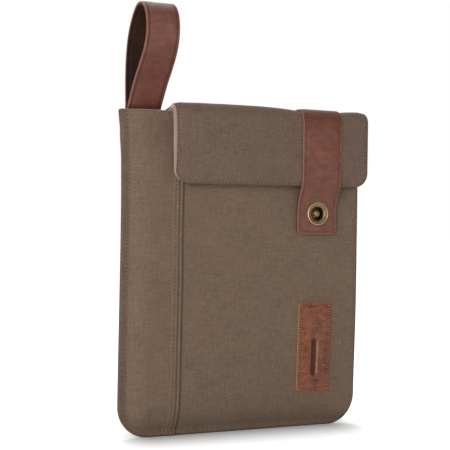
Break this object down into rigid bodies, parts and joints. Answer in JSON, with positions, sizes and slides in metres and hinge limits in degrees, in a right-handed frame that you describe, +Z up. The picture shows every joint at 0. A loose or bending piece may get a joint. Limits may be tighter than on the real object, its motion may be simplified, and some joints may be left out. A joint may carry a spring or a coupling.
{
  "type": "tablet sleeve",
  "caption": "Upright padded canvas sleeve for a tablet, with a fold-over flap, a leather snap strap and a leather wrist loop.",
  "frame": {"origin": "middle of the bottom edge, on the face that the sleeve stands on", "axes": "+X to the sleeve's right seen from the front, -Y out of the front, +Z up to the mouth"},
  "size_m": [0.214, 0.0646, 0.3418],
  "materials": {
    "canvas": "taupe brown plain-woven cotton canvas, matt",
    "lining": "darker brown brushed fabric",
    "padding": "closed-cell foam sheet",
    "thread": "polyester sewing thread, brown",
    "leather_thread": "waxed sewing thread, red brown",
    "leather": "waxed pull-up leather, warm brown, satin",
    "leather_backing": "dark brown leather backing",
    "antique_brass": "antiqued brass, worn bright on the rim",
    "spring_steel": "spring wire"
  },
  "bodies": {
    "sleeve": {"front_side_panel": "canvas", "front_main_panel": "canvas", "front_padding": "padding", "front_lining": "lining", "front_mouth_facing": "lining", "back_panel": "canvas", "back_padding": "padding", "back_lining": "lining", "back_mouth_facing": "lining", "perimeter_thread": "thread", "seam_thread": "thread", "front_mouth_thread": "thread", "handle_anchor": "leather_backing", "leather_patch": "leather", "patch_thread": "leather_thread", "snap_stud": "antique_brass", "snap_post": "antique_brass", "snap_reinforcement": "leather_backing", "flap_back_leg": "canvas", "flap_anchor_thread": "thread", "strap_back": "leather"},
    "flap_top": {"flap_top_canvas": "canvas", "flap_top_padding": "padding", "flap_top_lining": "lining", "strap_top": "leather"},
    "flap_front": {"flap_front_canvas": "canvas", "flap_front_padding": "padding", "flap_front_lining": "lining", "flap_thread": "thread", "strap_front": "leather", "strap_thread": "leather_thread"},
    "strap_tab": {"strap_tab_outer": "leather", "strap_tab_backing": "leather_backing", "tab_thread": "leather_thread", "snap_cap_ring": "antique_brass", "snap_socket": "antique_brass", "snap_spring": "spring_steel"},
    "handle": {"handle_outer": "leather", "handle_inner": "leather_backing", "handle_thread": "leather_thread"}
  },
  "joints": [
    {"name": "flap_back_fold", "type": "hinge", "parent": "sleeve", "child": "flap_top", "pos_m": [0.0195, 0.01367, 0.26646], "axis": [-1, 0, 0], "range_deg": [0, 150]},
    {"name": "flap_front_fold", "type": "hinge", "parent": "flap_top", "child": "flap_front", "pos_m": [0.0195, -0.01898, 0.26708], "axis": [-1, 0, 0], "range_deg": [0, 85], "stiffness_Nm_per_rad": 0.03, "springref_deg": -3.44},
    {"name": "snap_tab_lift", "type": "hinge", "parent": "flap_front", "child": "strap_tab", "pos_m": [0.0618, -0.0223, 0.204], "axis": [-1, 0, 0], "range_deg": [0, 110], "stiffness_Nm_per_rad": 0.02, "springref_deg": -2.86},
    {"name": "handle_swing", "type": "hinge", "parent": "sleeve", "child": "handle", "pos_m": [-0.087, 0.0074, 0.266], "axis": [-1, 0, 0], "range_deg": [-24, 80], "stiffness_Nm_per_rad": 0.06, "springref_deg": 4.58}
  ]
}
